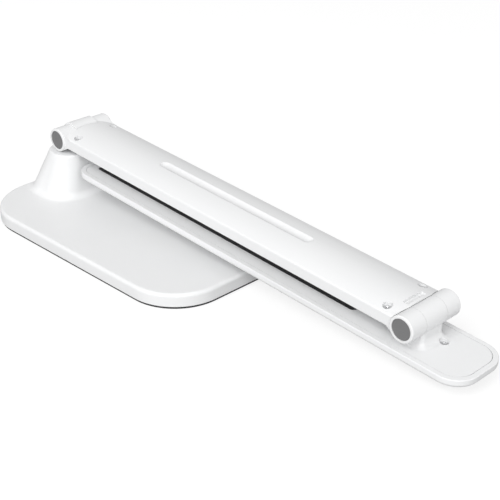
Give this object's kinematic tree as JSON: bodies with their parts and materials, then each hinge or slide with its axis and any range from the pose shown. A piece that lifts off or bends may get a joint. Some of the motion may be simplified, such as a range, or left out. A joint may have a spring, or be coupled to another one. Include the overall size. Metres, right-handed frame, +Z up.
{
  "type": "document camera",
  "caption": "Folding desk document camera: weighted foot plate with a post, a hinged flat arm, and a slim camera and light head folded under the arm at an elbow hinge.",
  "frame": {"origin": "on the table under the foot plate, straight below the middle of the lower hinge axis", "axes": "+X from the lower hinge towards the elbow, +Y to the back, +Z up"},
  "size_m": [0.3707, 0.1365, 0.0582],
  "materials": {
    "white_shell": "fine satin moulded white plastic",
    "grey_cap": "finely grained mid-grey plastic",
    "rubber": "matte black rubber",
    "dark_plastic": "matte black plastic",
    "dark_window": "smoked glossy acrylic",
    "steel": "zinc-plated steel",
    "bright_steel": "nickel-plated steel",
    "circuit_board": "green solder mask",
    "lens_glass": "coated lens glass",
    "led": "phosphor-filled resin",
    "diffuser": "frosted translucent plastic",
    "ribbon_cable": "amber flexible circuit"
  },
  "bodies": {
    "base": {"base_mat": "rubber", "base_shell": "white_shell", "base_floor": "dark_plastic", "base_weight": "steel", "base_screws": "steel", "usb_board": "circuit_board", "usb_socket": "bright_steel", "lower_hinge_shaft": "bright_steel", "lower_hinge_washers": "steel", "lower_hinge_nut": "bright_steel"},
    "arm": {"arm_cover": "white_shell", "arm_tray": "white_shell", "arm_stiffener": "steel", "arm_ribbon": "ribbon_cable", "arm_screws": "bright_steel", "lower_hinge_caps": "grey_cap", "elbow_hinge_caps": "grey_cap"},
    "head": {"head_shell": "white_shell", "head_face": "white_shell", "head_window": "dark_window", "lens_bezel": "dark_plastic", "lens_barrel": "dark_plastic", "lens_glass": "lens_glass", "camera_board": "circuit_board", "image_sensor": "dark_window", "led_board": "circuit_board", "led_chips": "led", "light_diffuser": "diffuser", "main_board": "circuit_board", "main_chips": "dark_plastic", "head_screws": "bright_steel", "elbow_hinge_shaft": "bright_steel", "elbow_hinge_washers": "steel", "elbow_hinge_nut": "bright_steel"}
  },
  "joints": [
    {"name": "arm_lift", "type": "hinge", "parent": "base", "child": "arm", "pos_m": [0, 0, 0.049], "axis": [0, -1, 0], "range_deg": [0, 95]},
    {"name": "head_tilt", "type": "hinge", "parent": "arm", "child": "head", "pos_m": [0.29933, 0, 0.02896], "axis": [0, -1, 0], "range_deg": [0, 3.5]}
  ]
}
